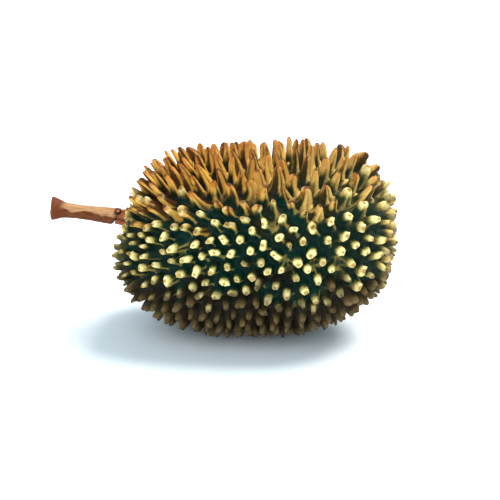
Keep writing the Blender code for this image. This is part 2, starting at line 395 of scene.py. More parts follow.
# %% Swell each ring of each spine
# Each row runs from the foot to the tip.
BLUNT_REACH = (1.00, 0.80, 0.70, 0.62, 0.53, 0.32, 0.0)
SHARP_REACH = (1.00, 0.63, 0.46, 0.36, 0.26, 0.13, 0.0)
RISE = (0.0, 0.12, 0.36, 0.64, 0.87, 0.975, 1.0)
RIDGE_REACH = (1.00, 0.96, 0.82, 0.64, 0.44, 0.22, 0.0)
RIDGE_RISE = (0.0, 0.24, 0.45, 0.68, 0.87, 0.975, 1.0)
HOLLOW = (0.0, 0.14, 0.14, 0.10, 0.04, 0.0, 0.0)
LOPSIDED = (0.0, 0.0, 0.25, 0.55, 0.75, 0.75, 0.0)
USUAL_BEND, LEAST_DRAWN, MOST_DRAWN = 0.80, 0.30, 1.70
EVEN_SHARE = 0.40  # takes from every side what flattening adds to two of them
UPHILL_TO_DOWNHILL, UPHILL_SHARE = (-0.2, 0.6), 0.45
PIT_DEPTH = 0.0024
SADDLE_HEIGHT = 0.0034
HIGHER_ABOVE = 1.6
BEND = 0.0014
ROUGHNESS = 0.00018


def at_ring(values):
    """The value for the ring that each point is on."""
    return np.array(values)[ring]


def likeness(vectors, ways):
    """1 where a vector points the given way, -1 the other way, and 0 at a right angle to it."""
    lengths = np.linalg.norm(vectors, axis=1) * np.linalg.norm(ways, axis=1)
    return (vectors * ways).sum(axis=1) / (lengths + TINY)


facing = likeness(from_foot, downhill(places))
buttress = between * joined * spread(facing, UPHILL_TO_DOWNHILL, UPHILL_SHARE, 1.0)
reach = at_ring(BLUNT_REACH) * stoutness + at_ring(SHARP_REACH) * (1.0 - stoutness)
reach *= 1.0 - at_ring(HOLLOW) * (1.0 - between)
drawn_out = np.clip(np.linalg.norm(bend, axis=1) / USUAL_BEND, LEAST_DRAWN, MOST_DRAWN)
reach *= 1.0 + at_ring(LOPSIDED) * drawn_out * (likeness(from_foot, bend) ** 2 - EVEN_SHARE)
reach += (at_ring(RIDGE_REACH) - reach) * buttress
rise = at_ring(RISE) + (at_ring(RIDGE_RISE) - at_ring(RISE)) * buttress
swollen = foot + reach[:, None] * from_foot + rise[:, None] * (tip - foot)
swollen += BEND * (4.0 * rise * (1.0 - rise))[:, None] * bend

way_out = outward(places)
saddles = between * joined * SADDLE_HEIGHT
saddles *= 1.0 + HIGHER_ABOVE * soft_step(*UPPER_SIDE, way_out[:, 2])
pits = (1.0 - between) * PIT_DEPTH
valley = places + way_out * (tall * (saddles - pits))[:, None]

shaped = np.where(on_spine[:, None], swollen, valley)
between_ends = (ring > 0) & (ring < RINGS + 1)
shaped += random.normal(0.0, ROUGHNESS, shaped.shape) * between_ends[:, None]
shaped[:, 2] = np.maximum(shaped[:, 2], 0.0)
husk.data.vertices.foreach_set("co", shaped.ravel())
husk.data.update()
print("the husk rises to", round(float(shaped[:, 2].max()), 4), "m")

# %% [markdown]
# ## What the paint will need
# The colours of the husk change from the dark valleys to the pale tips, and each tip carries a
# small dark dot. The finish can't know what a spine is, so six numbers are kept on the skin for it:
# the height on the spine, the distance from the tip, how much of a ridge passes, whether the point
# is on the side of its spine that gets painted light or the side that gets painted shade, a tint of
# the spine's own, and how bare the skin is. Whatever else was kept is taken away again.

# %% Keep the numbers for the finish
FARTHEST = 0.02
IN_VALLEY, AT_CORNER = 0.8, 0.9
TO_THE_STALK = np.array([-1.1, 0.0, 0.0])
BARE_TO_GROWN = (0.19, 0.46)

from_tip = np.where(on_spine, np.linalg.norm(shaped - tip, axis=1), 1.0)
ridge = np.where(on_spine, buttress, IN_VALLEY * between * joined) + AT_CORNER * beside
own_way = bend / (np.linalg.norm(bend, axis=1, keepdims=True) + TINY)
# 1 on the side of the spine that is painted lit, -1 on the side that is painted in shade.
side = np.where(on_spine, likeness(from_foot, unit(own_way + TO_THE_STALK)), 0.0)
for_the_finish = {
    "rise": rise, "from_tip": from_tip.clip(0.0, FARTHEST), "ridge": ridge,
    "side": side, "tint": tint, "bare": 1.0 - soft_step(*BARE_TO_GROWN, tall),
}
for name, values in for_the_finish.items():
    write(husk, name, values)
for name in ("tip", "foot", "share", "stoutness", "bend", "joined", "between", "beside", "tall"):
    husk.data.attributes.remove(husk.data.attributes[name])
print("kept on the skin:", *for_the_finish)

# %% [markdown]
# ## The collar round the stalk
# Round the stalk the husk is bare and swells into a soft lip. The stalk's seat is one face, so a
# few insets make the lip: each one steps inwards and a little up or down.

# %% Inset the seat into a soft lip
SEAT_CORNERS = 20  # no other face has so many
LIP = (  # (inwards, up)
    (0.0008, 0.0018), (0.0010, 0.0012), (0.0012, 0.0003), (0.0010, -0.0010), (0.0006, -0.0018),
)

start_on(husk)
pick(husk, "FACE", lambda face: len(face.verts) > SEAT_CORNERS)
for inwards, up in LIP:
    bpy.ops.mesh.inset(thickness=inwards, depth=up)
bpy.ops.object.mode_set(mode="OBJECT")
bpy.ops.object.shade_smooth()
print("the husk has", len(husk.data.polygons), "faces")

# %% [markdown]
# ## Helpers for the finishes
# A finish is a small network of nodes that ends in one shader. A few helpers keep the cells short:
# one adds a node, sets it and joins it, and the others use it to make a ramp of colours, to blend
# two colours, to spread a range of values over another, and to work with numbers and clouds.
# A cloud is Blender's noise, a value that is mostly near a half.

# %% Make nodes, ramps and blends, and start the husk's finish
def new_finish(name):
    made = bpy.data.materials.new(name)
    made.use_nodes = True
    return made, made.node_tree.nodes["Principled BSDF"]


def join(made, output, socket):
    made.node_tree.links.new(output, socket)


def set_or_join(made, socket, value):
    """Joins the socket if it is given another socket, and sets it if it is given a value."""
    if isinstance(value, bpy.types.NodeSocket):
        join(made, value, socket)
    else:
        socket.default_value = value


def add(made, kind, inputs, **settings):
    """Adds one node with its settings, and sets or joins each of its inputs."""
    node = made.node_tree.nodes.new(kind)
    for name, value in settings.items():
        setattr(node, name, value)
    for name, value in inputs.items():
        set_or_join(made, node.inputs[name], value)
    return node


def ramp(made, value, stops):
    """Colours in order along a value. Each stop is (position, colour)."""
    node = add(made, "ShaderNodeValToRGB", {"Fac": value})
    elements = node.color_ramp.elements
    while len(elements) < len(stops):
        elements.new(0.5)
    for element, (position, colour) in zip(elements, stops):
        element.position = position
        element.color = (*colour, 1.0)
    return node.outputs["Color"]


def blend(made, share, below, above):
    """Goes from one colour to another as the share goes from 0 to 1."""
    below, above = ((*c, 1.0) if isinstance(c, tuple) else c for c in (below, above))
    node = add(made, "ShaderNodeMix", {}, data_type="RGBA")
    for number, value in ((0, share), (6, below), (7, above)):
        set_or_join(made, node.inputs[number], value)
    return node.outputs[2]


def span(made, value, low, high, start=0.0, end=1.0):
    """Spreads low..high over start..end, softly, and holds it at both ends."""
    inputs = {"Value": value, "From Min": low, "From Max": high, "To Min": start, "To Max": end}
    smooth = add(made, "ShaderNodeMapRange", inputs, interpolation_type="SMOOTHSTEP")
    return smooth.outputs["Result"]


def calculate(made, operation, first, second):
    return add(made, "ShaderNodeMath", {0: first, 1: second}, operation=operation).outputs["Value"]


def plus(made, first, second):
    return calculate(made, "ADD", first, second)


def times(made, first, second):
    return calculate(made, "MULTIPLY", first, second)


def larger(made, first, second):
    return calculate(made, "MAXIMUM", first, second)


def kept(made, name):
    """A number that was kept on the piece's points."""
    return add(made, "ShaderNodeAttribute", {}, attribute_name=name).outputs["Fac"]


def cloud(made, place, scale, detail=3.0):
    inputs = {"Vector": place, "Scale": scale, "Detail": detail}
    return add(made, "ShaderNodeTexNoise", inputs).outputs["Fac"]


def shifts(made, noise, clip, reach):
    """Turns a cloud, clipped a little at both ends, into shifts of up to this much either way."""
    return span(made, noise, clip, 1.0 - clip, -reach, reach)


def own_place(made):
    """Where each point is on the piece itself, in metres."""
    return add(made, "ShaderNodeTexCoord", {}).outputs["Object"]


rind, shader = new_finish("durian_husk")
place = own_place(rind)
print("the husk's finish starts with", len(rind.node_tree.nodes), "nodes")

# %% [markdown]
# ## The finish of the husk
# On its sides the husk is green: dark green in the valleys, deepened to nearly black there by
# painted shade, olive up the spines, and pale cream at their ends. The upper side has weathered to
# golden orange, and so have parts of both ends of the fruit. Underneath, everything is painted dark
# brown as painted shade. The border between sides and top follows the height above the floor, sinks
# a little towards the far end, and wanders with a cloud.

# %% Find where the husk has weathered
PATCH_SCALE, MOTTLE_SCALE, SPECK_SCALE, FIBRE_SCALE = 38.0, 150.0, 420.0, 900.0
SUNNY_HEIGHTS, SHADE_BELOW_HEIGHTS = (0.124, 0.156), (0.055, 0.095)
STALK_X, BLOSSOM_X, BLOSSOM_TIP_X = (-0.085, -0.020), (0.085, 0.150), (0.152, 0.172)
FAR_END_X, FAR_HALF_X = (0.100, 0.160), (-0.020, 0.100)
WANDER, SLOPE, FAR_DROP = 0.035, -0.05, -0.015
SUNNY_AT_STALK, SUNNY_AT_BLOSSOM, SUNNY_AT_TIP = 0.20, 0.22, 0.60
SHADE_BELOW_SHARE = 0.96

where = add(rind, "ShaderNodeSeparateXYZ", {"Vector": place}).outputs
along, height = where["X"], where["Z"]
patches = cloud(rind, place, PATCH_SCALE)
mottle = cloud(rind, place, MOTTLE_SCALE, detail=5.0)
specks = cloud(rind, place, SPECK_SCALE)

wandering = plus(rind, height, shifts(rind, patches, clip=0.2, reach=WANDER))
sunny_height = plus(rind, wandering, times(rind, along, SLOPE))
sunny_height = plus(rind, sunny_height, span(rind, along, *FAR_END_X, 0.0, FAR_DROP))
at_stalk = span(rind, along, *STALK_X, SUNNY_AT_STALK, 0.0)
at_blossom = span(rind, along, *BLOSSOM_X, 0.0, SUNNY_AT_BLOSSOM)
at_blossom = plus(rind, at_blossom, span(rind, along, *BLOSSOM_TIP_X, 0.0, SUNNY_AT_TIP))
at_ends = larger(rind, at_stalk, at_blossom)
sunny = larger(rind, span(rind, sunny_height, *SUNNY_HEIGHTS), at_ends)
# Painted shade: below these heights the husk is darkened towards the floor.
shade_below = span(rind, wandering, *SHADE_BELOW_HEIGHTS, SHADE_BELOW_SHARE, 0.0)
print("the upper side begins between", *SUNNY_HEIGHTS, "m above the floor")

# %% [markdown]
# ## Painted light and shade strips on each spine
# On the upper side each spine is painted golden along its ridges as a painted highlight, golden
# along one side as painted light, and dark brown along the other side as painted shade, which gives
# it the look of a bundle of strips. The kept numbers say where each strip is.
# How far up the colours of a flank are follows the height on the spine, with a little more or less
# for each spine and for each speck.

# %% Find the strips of each spine
CREST = (0.32, 0.72)  # how much of a ridge counts as none and as all of its crest
SIDE_WANDER, SPECK_WANDER = 0.25, 0.06
LIT_SIDE, LIT_HEIGHTS, LIT_SHARE = (0.15, 0.60), (0.22, 0.60), 0.75
SHADE_SIDE, SHADE_SHARE = (-0.40, 0.08), 0.92
RIDGED, SHADE_ON_RIDGES = (0.1, 0.75), 0.20
OWN_RISE = (0.92, 1.05)
STALK_END_X, DARKER_AT_STALK = (-0.095, -0.030), -0.11

rise = kept(rind, "rise")
own_tint = kept(rind, "tint")
crest = span(rind, kept(rind, "ridge"), *CREST)
side = plus(rind, kept(rind, "side"), shifts(rind, mottle, clip=0.3, reach=SIDE_WANDER))
# Painted light on the lit side of each spine.
lit = times(rind, span(rind, side, *LIT_SIDE, 0.0, LIT_SHARE), span(rind, rise, *LIT_HEIGHTS))
# The share painted bright: the highlight on the ridges or the lit side, whichever is more.
golden = larger(rind, crest, lit)
# Painted shade on the other side of each spine, weaker on the ridges.
shade_side = span(rind, side, *SHADE_SIDE, SHADE_SHARE, 0.0)
shaded = times(rind, shade_side, span(rind, crest, *RIDGED, 1.0, SHADE_ON_RIDGES))
flank = times(rind, rise, span(rind, own_tint, 0.0, 1.0, *OWN_RISE))
flank = plus(rind, flank, shifts(rind, specks, clip=0.25, reach=SPECK_WANDER))
flank = plus(rind, flank, span(rind, along, *STALK_END_X, DARKER_AT_STALK, 0.0))


def climb_with_crest(strength):
    """How far up the colours are: by the height on the spine, or by the ridge if that is more."""
    return larger(rind, flank, times(rind, crest, strength))


print("the strips take", len(rind.node_tree.nodes), "nodes so far")

# %% [markdown]
# ## The colours of the three regions
# Each region has a ramp that runs up the spine. On the upper side there are two, one for the flanks
# and a brighter one for the painted highlight on the ridges and the painted light on the lit side,
# and they turn greener towards the far half of the fruit. The highest spines are scorched to an
# orange brown at their ends, and the shaded sides of the spines take a brown or green painted
# shade. The regions are then blended in order: sides, top, and the painted shade underneath.

# %% Colour the three regions
SIDE_CREST, SHADED_UNDERSIDE_CREST = 0.60, 0.5
GREENER_SHARE, FLANK_GREENER = 0.75, 0.6
GREEN_GOLD, GREEN_FLANK = (0.93, 0.64, 0.19), (0.075, 0.060, 0.015)
SCORCHED_HEIGHTS, SCORCHED_RISE, SCORCHED_SHARE = (0.135, 0.185), (0.30, 0.95), 0.65
SCORCHED = (0.50, 0.165, 0.018)
BROWN_SHADE, GREEN_SHADE = (0.074, 0.025, 0.004), (0.018, 0.025, 0.008)

# The lowest stops of these ramps are dark green, deepened to nearly black as painted shade in the
# valleys.
green_side = ramp(rind, climb_with_crest(SIDE_CREST), (
    (0.00, (0.0006, 0.022, 0.0150)),
    (0.40, (0.0015, 0.033, 0.0210)),
    (0.54, (0.075, 0.083, 0.022)),
    (0.68, (0.58, 0.48, 0.15)),
    (0.84, (0.96, 0.83, 0.37)),
))
sunny_flank = ramp(rind, flank, (
    (0.00, (0.003, 0.010, 0.005)),
    (0.34, (0.014, 0.017, 0.005)),
    (0.58, (0.130, 0.050, 0.008)),
    (0.80, (0.34, 0.125, 0.018)),
    (0.93, (0.22, 0.060, 0.015)),
    (1.00, (0.07, 0.018, 0.010)),
))
# A lit copy of the flanks' colours, for the painted highlight on the ridges and the painted light
# on the lit side.
crest_highlight = ramp(rind, flank, (
    (0.00, (0.60, 0.31, 0.042)),
    (0.30, (0.92, 0.47, 0.070)),
    (0.70, (1.00, 0.58, 0.110)),
    (0.92, (0.50, 0.17, 0.028)),
))
# The colours of the painted shade underneath, dark brown up the spines.
shaded_underside = ramp(rind, climb_with_crest(SHADED_UNDERSIDE_CREST), (
    (0.00, (0.004, 0.006, 0.004)),
    (0.50, (0.031, 0.020, 0.007)),
    (1.00, (0.135, 0.078, 0.027)),
))

greener = span(rind, along, *FAR_HALF_X, 0.0, GREENER_SHARE)
crest_highlight = blend(rind, greener, crest_highlight, GREEN_GOLD)
sunny_flank = blend(rind, times(rind, greener, FLANK_GREENER), sunny_flank, GREEN_FLANK)
# The painted highlight and the painted light take the lit copy.
sunny_side = blend(rind, golden, sunny_flank, crest_highlight)
scorched = span(rind, height, *SCORCHED_HEIGHTS, 0.0, SCORCHED_SHARE)
scorched = times(rind, scorched, span(rind, rise, *SCORCHED_RISE))
sunny_side = blend(rind, scorched, sunny_side, SCORCHED)
shade = blend(rind, greener, BROWN_SHADE, GREEN_SHADE)
# Painted shade on each spine's shaded side.
sunny_side = blend(rind, shaded, sunny_side, shade)
skin_colour = blend(rind, sunny, green_side, sunny_side)
# Painted shade is laid over the lowest part of the husk.
skin_colour = blend(rind, shade_below, skin_colour, shaded_underside)
print("the regions take", len(rind.node_tree.nodes), "nodes so far")

# %% [markdown]
# ## Bare skin, dots and fibres
# Round the stalk the skin is bare, and mottled in buff and olive. Each tip carries a dot, where
# the point of the spine has dried, and no two dots are quite the same size. The whole husk is dull
# and fibrous, so it has a high roughness and a fine bump.

# %% Colour the bare skin and the dots, and finish the husk
MOTTLE_SHARE = 0.6
BARE_SHARE, BARE_END_X, BARE_END_SHARE = 0.80, (-0.103, -0.084), 0.55
DOT_RADII, DOT_SHARE, DOT_STRETCH = (0.0011, 0.0023), 0.85, (0.60, 1.35)
DOTLESS = (0.3, 0.9)
SIDE_DOT, SUNNY_DOT, SHADED_UNDER_DOT = (0.42, 0.24, 0.045), (0.120, 0.033, 0.006), (0.045, 0.026, 0.010)
HUSK_ROUGHNESS, HUSK_GLOSS = 0.6, 0.15
FIBRE_STRENGTH, FIBRE_DEPTH = 0.35, 0.0006

bare = kept(rind, "bare")
bare_colour = ramp(rind, plus(rind, patches, times(rind, mottle, MOTTLE_SHARE)), (
    (0.56, (0.035, 0.050, 0.016)),
    (0.74, (0.19, 0.150, 0.050)),
    (0.96, (0.42, 0.32, 0.13)),
))
bare_share = span(rind, bare, 0.0, 1.0, 0.0, BARE_SHARE)
bare_share = larger(rind, bare_share, span(rind, along, *BARE_END_X, BARE_END_SHARE, 0.0))
skin_colour = blend(rind, bare_share, skin_colour, bare_colour)

from_tip = times(rind, kept(rind, "from_tip"), span(rind, own_tint, 0.0, 1.0, *DOT_STRETCH))
dot = span(rind, from_tip, *DOT_RADII, DOT_SHARE, 0.0)
dot = times(rind, dot, span(rind, bare, *DOTLESS, 1.0, 0.0))
# Dots in the painted shade underneath are darker.
dot_colour = blend(rind, shade_below, blend(rind, sunny, SIDE_DOT, SUNNY_DOT), SHADED_UNDER_DOT)
skin_colour = blend(rind, dot, skin_colour, dot_colour)
join(rind, skin_colour, shader.inputs["Base Color"])
shader.inputs["Roughness"].default_value = HUSK_ROUGHNESS
shader.inputs["Specular IOR Level"].default_value = HUSK_GLOSS

fibres = cloud(rind, place, FIBRE_SCALE)
relief = {"Height": fibres, "Strength": FIBRE_STRENGTH, "Distance": FIBRE_DEPTH}
join(rind, add(rind, "ShaderNodeBump", relief).outputs["Normal"], shader.inputs["Normal"])
husk.data.materials.append(rind)
print("the husk's finish has", len(rind.node_tree.nodes), "nodes")

# %% [markdown]
# ## Where the stalk stands
# The neck and the stalk are round pieces on one line that leans up from the fruit. The measured
# neck ends in a flat square to that line, so the flat's direction is the line's, and its middle
# is a place on it.

# %% Measure the stalk's line
OUT_OF_THE_FRUIT = Vector((-0.9925, 0.0, 0.122))
SAME_WAY = 0.98


def flat_end(node, towards):
    """The middle and the direction of the node's largest flat that faces a direction."""
    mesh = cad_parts[node].data
    facing = [face for face in mesh.polygons if face.normal.dot(towards) > SAME_WAY]
    area = sum(face.area for face in facing)
    middle = sum((face.center * face.area for face in facing), Vector()) / area
    return middle, sum((face.normal * face.area for face in facing), Vector()).normalized()


neck_end, stalk_line = flat_end("stalk_neck", OUT_OF_THE_FRUIT)
seat, _ = flat_end("stalk_neck", -stalk_line)
print("the stalk's line is", rounded(stalk_line), "from", rounded(seat))

# %% [markdown]
# ## The neck
# The neck is the stub that stays on the fruit. It flares into the husk like the bell of a
# trumpet, and its end is slanted where the knuckle sits on it. A disc is added on the seat and
# extruded along the line, ring by ring. Each ring is resized to its own radius and turned to its
# own slant, so the skin between two rings bends smoothly.

# %% Extrude the neck
SIDES = 40
GAP = 0.0003
NECK_RINGS = (  # (distance, radius, slant in degrees)
    (0.0000, 0.0114, 0), (0.0008, 0.0113, 0), (0.0022, 0.0107, 1), (0.0040, 0.0099, 3),
    (0.0062, 0.0091, 6), (0.0084, 0.0086, 10), (0.0106, 0.0084, 14), (0.0124, 0.0083, 18),
    (0.0137, 0.0082, 22), (0.0143, 0.0078, 25),
)


def extruded(name, start, line, rings):
    """A disc at the start of the line, drawn out ring by ring. A slanted ring reaches furthest out
    below."""

    def slanted(by, middle):
        bpy.ops.transform.rotate(
            value=-math.radians(by), orient_axis="Y", center_override=middle
        )

    bpy.ops.object.select_all(action="DESELECT")
    (there, radius, slant), *others = rings
    middle = start + there * line
    turn = line.to_track_quat("Z", "Y").to_euler()
    bpy.ops.mesh.primitive_circle_add(
        vertices=SIDES, radius=radius, fill_type="NGON", location=middle, rotation=turn
    )
    piece = bpy.context.object
    piece.name = name
    bpy.ops.object.transform_apply(location=True, rotation=True, scale=True)
    start_on(piece)
    if slant:
        slanted(slant, middle)
    for distance, wanted, turned in others:
        middle = start + distance * line
        step = (distance - there) * line
        bpy.ops.mesh.extrude_region_move(TRANSFORM_OT_translate={"value": step})
        size = wanted / radius
        bpy.ops.transform.resize(value=(size, size, size), center_override=middle)
        if turned != slant:
            slanted(turned - slant, middle)
        there, radius, slant = distance, wanted, turned
    bpy.ops.mesh.select_all(action="SELECT")
    bpy.ops.mesh.normals_make_consistent(inside=False)
    bpy.ops.object.mode_set(mode="OBJECT")
    return piece


neck = extruded("stalk_neck_stub", seat + GAP * stalk_line, stalk_line, NECK_RINGS)
print("the neck has", len(neck.data.polygons), "faces")

# %% [markdown]
# ## The stalk
# The stalk starts at a swollen knuckle with the same slant as the neck's end, thins to the
# thickness of a finger, and flares where it was cut from the branch. It is extruded like the
# neck. Then one cut across the flare makes the slanted end, and a few insets give that end a rim
# of bark round the wood.

# %% Extrude the stalk and cut its end
STALK_RINGS = (
    (0.0000, 0.0078, 26), (0.0007, 0.0089, 26), (0.0018, 0.0094, 25), (0.0032, 0.0094, 24),
    (0.0048, 0.0091, 20), (0.0068, 0.0087, 14), (0.0094, 0.0083, 8), (0.0130, 0.0081, 3),
    (0.0180, 0.0078, 0), (0.0240, 0.0076, 0), (0.0300, 0.0075, 0), (0.0360, 0.0073, 0),
    (0.0420, 0.0072, 0), (0.0480, 0.0074, 0), (0.0530, 0.0079, 0), (0.0565, 0.0087, 0),
    (0.0595, 0.0098, 0), (0.0625, 0.0110, 0), (0.0650, 0.0117, 0), (0.0675, 0.0120, 0),
    (0.0700, 0.0121, 0), (0.0780, 0.0118, 0),
)
CUT_DISTANCE = 0.0670
CUT_TURN = math.radians(14)
CUT_STEPS = ((0.0009, 0.0008), (0.0012, 0.0005), (0.0026, 0.0004), (0.0028, 0.0001))
NEAR_SIDE = Vector((0.0, -1.0, 0.0))
ON_THE_CUT = 1e-5
SHORT_EDGE = 0.0006
SQUARE_TO = 0.999
CUT_CORNERS = 8  # the cut's own face has more corners than this

joint = neck_end + GAP * stalk_line
cut_place = joint + CUT_DISTANCE * stalk_line
cut_facing = (stalk_line + math.tan(CUT_TURN) * NEAR_SIDE).normalized()


def is_cut_face(face):
    return face.normal.dot(cut_facing) > SQUARE_TO and len(face.verts) > CUT_CORNERS


stalk = extruded("fruit_stalk", joint, stalk_line, STALK_RINGS)
start_on(stalk)
bpy.ops.mesh.bisect(plane_co=cut_place, plane_no=cut_facing, use_fill=True, clear_outer=True)
pick(stalk, "VERT", lambda vert: abs((vert.co - cut_place).dot(cut_facing)) < ON_THE_CUT)
bpy.ops.mesh.remove_doubles(threshold=SHORT_EDGE)
pick(stalk, "FACE", is_cut_face)
for inwards, up in CUT_STEPS:
    bpy.ops.mesh.inset(thickness=inwards, depth=up, use_even_offset=False)
bpy.ops.mesh.normals_make_consistent(inside=False)
bpy.ops.object.mode_set(mode="OBJECT")
print("the stalk has", len(stalk.data.polygons), "faces")

# %% [markdown]
# ## Rough bark
# Extruded rings look as if they came from a lathe, and bark doesn't. So the stalk and the neck are
# divided once more, which also rounds them, and their skin is moved in and out a little by a cloud.

# %% Roughen the stalk and the neck
def choose(piece):
    """Selects this piece alone, so that a modifier is put on it."""
    bpy.ops.object.select_all(action="DESELECT")
    piece.select_set(True)
    bpy.context.view_layer.objects.active = piece


def change(piece, kind, **settings):
    """Puts a modifier on the chosen piece, sets it and applies it."""
    bpy.ops.object.modifier_add(type=kind)
    modifier = piece.modifiers[-1]
    for name, value in settings.items():
        setattr(modifier, name, value)
    bpy.ops.object.modifier_apply(modifier=modifier.name)


def roughened(piece, strength, size):
    """Divides the piece once and moves its skin in and out a little, by a cloud of that size."""
    choose(piece)
    change(piece, "SUBSURF", levels=1, render_levels=1)
    lumps = bpy.data.textures.new(piece.name + "_lumps", "CLOUDS")
    lumps.noise_scale = size
    change(piece, "DISPLACE", texture=lumps, strength=strength, mid_level=0.5)


roughened(stalk, strength=0.0011, size=0.011)
roughened(neck, strength=0.0010, size=0.007)
print("the rough stalk has", len(stalk.data.polygons), "faces")

# %% [markdown]
# ## The bud scar
# On top of the knuckle sits the small round scar of a bud, with a raised rim. It grew there, so
# it is one piece with the stalk: a ring is extruded from a disc and joined to the stalk by a
# Boolean.

# %% Join the bud scar to the stalk
SCAR_RINGS = (
    (0.0000, 0.0031, 0), (0.0030, 0.0032, 0), (0.0042, 0.0033, 0), (0.0052, 0.0031, 0),
    (0.0056, 0.0026, 0), (0.0053, 0.0021, 0), (0.0045, 0.0017, 0), (0.0048, 0.0010, 0),
    (0.0050, 0.0004, 0),
)
SCAR_TO_NEAR_SIDE = 0.80
SCAR_BACK, SCAR_OUT, SCAR_DEPTH = 0.0012, 0.0104, 0.0052
SMOOTH_BELOW = math.radians(45)

over = stalk_line.cross(NEAR_SIDE).normalized()
if over.z < 0.0:
    over = -over
scar_way = (over + SCAR_TO_NEAR_SIDE * NEAR_SIDE).normalized()
scar_middle = joint - SCAR_BACK * stalk_line + SCAR_OUT * scar_way
scar = extruded("bud_scar", scar_middle - SCAR_DEPTH * scar_way, scar_way, SCAR_RINGS)
choose(stalk)
change(stalk, "BOOLEAN", operation="UNION", solver="EXACT", object=scar)
bpy.data.objects.remove(scar)
for piece in (neck, stalk):
    choose(piece)
    bpy.ops.object.shade_smooth_by_angle(angle=SMOOTH_BELOW)
print("the stalk with its scar has", len(stalk.data.polygons), "faces")

# %% [markdown]
# ## The stalk's bark
# The stalk's bark is corky and dry, with fine streaks along it. It is painted pale tan above as
# painted light and red-brown below as painted shade, with a wandering border between them. Towards
# its flare and its knuckle it darkens. A Mapping node turns the piece's coordinates so that X runs
# along the stalk from the joint, which makes each of these a matter of one number.

# %% Paint the bark
BARK_TURN = stalk_line.to_track_quat("X", "Z").to_euler()
LONG_STREAKS = (0.16, 1.0, 1.0)
BARK_GLOSS, RELIEF_STRENGTH, RELIEF_DEPTH = 0.2, 0.5, 0.0005
BARK_STREAKS, BORDER_SCALE, BORDER_WANDER = 700.0, 75.0, 0.0022
LIT_TOP_FROM, FLARE_FROM, KNUCKLE_TO = (0.0010, 0.0028), (0.0490, 0.0580), 0.0055
KNUCKLE_SHARE = 0.55
LIT_BARK = ((0.30, (0.30, 0.135, 0.052)), (0.55, (0.46, 0.235, 0.105)), (0.75, (0.58, 0.33, 0.170)))
SHADED_BARK = (
    (0.30, (0.070, 0.018, 0.003)), (0.55, (0.145, 0.038, 0.007)), (0.75, (0.22, 0.067, 0.016)),
)
FLARE_COLOUR, KNUCKLE_COLOUR = (0.150, 0.036, 0.006), (0.15, 0.045, 0.020)


def along_the_stalk(made):
    """Coordinates with X along the stalk from the joint and Z up across it."""
    inputs = {"Vector": own_place(made), "Location": tuple(joint), "Rotation": tuple(BARK_TURN)}
    turned = add(made, "ShaderNodeMapping", inputs, vector_type="TEXTURE").outputs["Vector"]
    return turned, add(made, "ShaderNodeSeparateXYZ", {"Vector": turned}).outputs


def streaked(made, turned, scale):
    """A cloud drawn out about six times along the stalk."""
    drawn = add(made, "ShaderNodeMapping", {"Vector": turned, "Scale": LONG_STREAKS})
    return cloud(made, drawn.outputs["Vector"], scale, detail=4.0)


def distance(made, operation, inputs):
    """One number from a Vector Math node: a distance or a length."""
    return add(made, "ShaderNodeVectorMath", inputs, operation=operation).outputs["Value"]


def finish_skin(made, shader, colour, fine, roughness):
    """Gives a skin its colour and its fine relief, and says how dull it is."""
    join(made, colour, shader.inputs["Base Color"])
    relief = {"Height": fine, "Strength": RELIEF_STRENGTH, "Distance": RELIEF_DEPTH}
    join(made, add(made, "ShaderNodeBump", relief).outputs["Normal"], shader.inputs["Normal"])
    shader.inputs["Roughness"].default_value = roughness
    shader.inputs["Specular IOR Level"].default_value = BARK_GLOSS


bark, shader = new_finish("stalk_bark")
turned, part = along_the_stalk(bark)
streaks = streaked(bark, turned, BARK_STREAKS)
border = cloud(bark, turned, BORDER_SCALE, detail=1.0)
border = shifts(bark, border, clip=0.3, reach=BORDER_WANDER)
# Painted light on the stalk's top and painted shade below it, with a wandering border.
upper = span(bark, plus(bark, part["Z"], border), *LIT_TOP_FROM)
bark_colour = blend(bark, upper, ramp(bark, streaks, SHADED_BARK), ramp(bark, streaks, LIT_BARK))
flare_part = span(bark, plus(bark, part["X"], border), *FLARE_FROM)
bark_colour = blend(bark, flare_part, bark_colour, FLARE_COLOUR)
knuckle_part = span(bark, part["X"], 0.0, KNUCKLE_TO, KNUCKLE_SHARE, 0.0)
bark_colour = blend(bark, knuckle_part, bark_colour, KNUCKLE_COLOUR)
print("the bark changes at", *FLARE_FROM, "m along the stalk")

# %% [markdown]
# ## The scar's colours
# The scar is darkest in the groove round its rim and pale inside it. Its colours depend only on
# the distance from its middle.

# %% Paint the scar
SCAR_SPREAD = 200.0  # brings distances of up to 5 mm to the 0 to 1 of a ramp
SCAR_EDGE = (0.0036, 0.0050)
SCAR_COLOURS = (
    (0.00, (0.10, 0.030, 0.016)), (0.16, (0.42, 0.17, 0.09)), (0.36, (0.26, 0.09, 0.045)),
    (0.50, (0.040, 0.012, 0.008)), (0.78, (0.030, 0.010, 0.008)),
)
BARK_ROUGHNESS = 0.7

from_scar = distance(bark, "DISTANCE", {0: own_place(bark), 1: tuple(scar_middle)})
scar_colour = ramp(bark, times(bark, from_scar, SCAR_SPREAD), SCAR_COLOURS)
at_scar = span(bark, from_scar, *SCAR_EDGE, 1.0, 0.0)
bark_colour = blend(bark, at_scar, bark_colour, scar_colour)
finish_skin(bark, shader, bark_colour, streaks, BARK_ROUGHNESS)
print("the bark's finish has", len(bark.node_tree.nodes), "nodes")

# %% [markdown]
# ## The cut wood and the neck's skin
# The wood of the cut end is brown, with rings round the pith, so its colours follow the distance
# from the stalk's line. The neck is orange-brown with fine streaks, and a dark line along its side
# is the painted shade of a crease; the mesh has no crease there.

